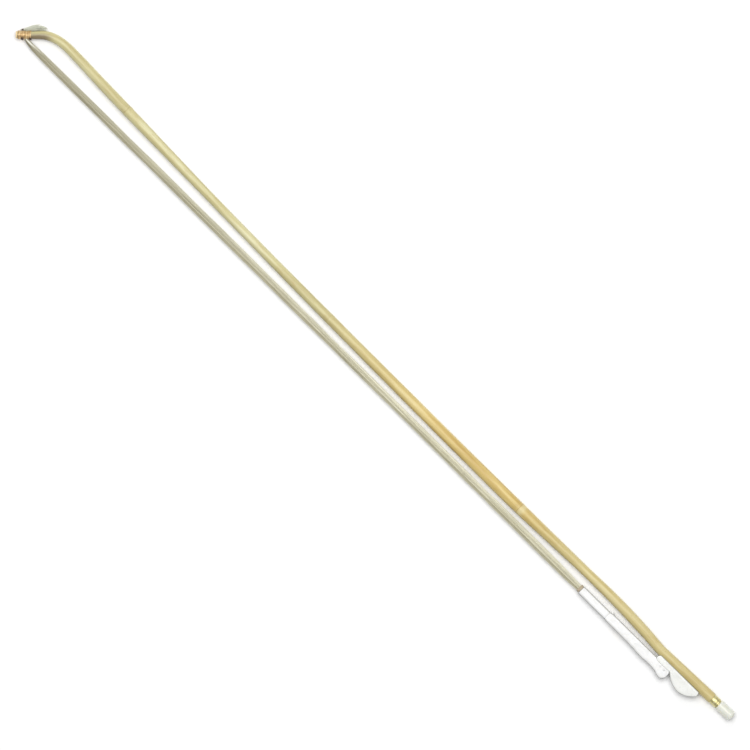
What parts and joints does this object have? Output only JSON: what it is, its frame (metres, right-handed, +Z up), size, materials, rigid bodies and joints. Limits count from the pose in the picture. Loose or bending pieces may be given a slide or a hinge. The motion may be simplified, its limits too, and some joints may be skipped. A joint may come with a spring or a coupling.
{
  "type": "erhu bow",
  "caption": "Erhu bow: a bent bamboo stick strung with a band of horsehair, and a white frog that a screw knob slides along the stick to tighten the hair.",
  "frame": {"origin": "on the surface the bow lies on, below the middle of its outline", "axes": "+X along the hair from the tip to the adjuster knob, +Y from the hair to the stick, +Z up, square to the bow's plane"},
  "size_m": [0.8371, 0.0318, 0.0102],
  "materials": {
    "bamboo": "smooth, pale gold, thin varnish",
    "pale_wood": "bare cut wood",
    "brass_wire": "aged wire",
    "horsehair": "natural grey-beige",
    "dark_thread": "waxed",
    "tan_thread": "waxed",
    "white_plastic": "gloss",
    "ivory_plastic": "gloss",
    "brass": "polished",
    "steel": "turned"
  },
  "bodies": {
    "stick": {"bamboo_stick": "bamboo", "tip_end_plug": "pale_wood", "tip_whipping": "brass_wire", "tip_hair_root": "horsehair", "tip_hair_wedge": "pale_wood", "tip_hair_tuft": "horsehair", "tip_hair_knot": "dark_thread", "hair_band": "horsehair", "tail_ferrule": "brass"},
    "adjuster": {"adjuster_button": "ivory_plastic", "adjuster_screw": "steel", "thrust_washer": "brass"},
    "frog": {"frog_fishtail": "white_plastic", "frog_arm": "white_plastic", "arm_pins": "white_plastic", "hair_sleeve": "white_plastic", "sleeve_pin": "white_plastic", "hair_lashing": "tan_thread", "screw_eye": "brass", "frog_hair_root": "horsehair", "frog_hair_knot": "horsehair", "pocket_plug": "pale_wood"}
  },
  "joints": [
    {"name": "adjuster_spin", "type": "hinge", "parent": "stick", "child": "adjuster", "pos_m": [0.3944, 0.00338, 0.0051], "axis": [-0.9997, -0.0244, 0], "range_deg": [-1545, 3090]},
    {"name": "frog_slide", "type": "slide", "parent": "stick", "child": "frog", "axis": [0.9997, 0.0244, 0], "range_m": [-0.003, 0.006], "deforming": ["hair_band"]}
  ],
  "couplings": [
    {"joint": "adjuster_spin", "follows": "frog_slide", "rad_per_m": 8976}
  ]
}
